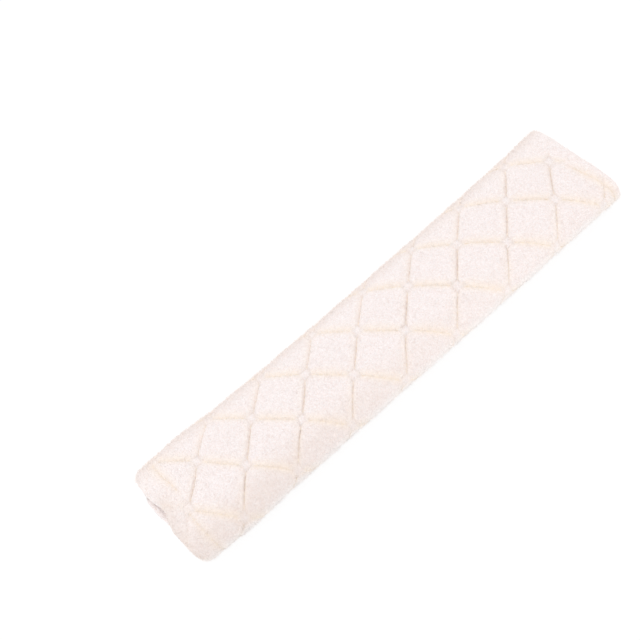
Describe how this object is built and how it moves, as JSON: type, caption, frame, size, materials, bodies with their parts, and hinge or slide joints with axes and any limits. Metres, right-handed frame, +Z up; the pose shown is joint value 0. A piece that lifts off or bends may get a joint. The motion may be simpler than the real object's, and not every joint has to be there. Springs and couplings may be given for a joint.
{
  "type": "seat belt shoulder pad",
  "caption": "Quilted plush sleeve that closes round a car seat belt and cushions it at the shoulder.",
  "frame": {"origin": "middle of the closed pad, on the surface that its overlapped flaps rest on", "axes": "+X along the belt, +Y towards the folded side that carries the inner flap, +Z up through the quilted face"},
  "size_m": [0.28, 0.0693, 0.025],
  "materials": {
    "plush": "short curly cream pile, quilted",
    "sponge": "open-cell foam",
    "lining_cloth": "smooth plain weave",
    "hook_nylon": "rows of fine hooks on woven tape",
    "loop_nylon": "brushed loops on woven tape"
  },
  "bodies": {
    "root": {"plush_cover": "plush", "foam_padding": "sponge", "inner_lining": "lining_cloth", "hook_tape": "hook_nylon", "loop_tape": "loop_nylon"}
  },
  "joints": []
}
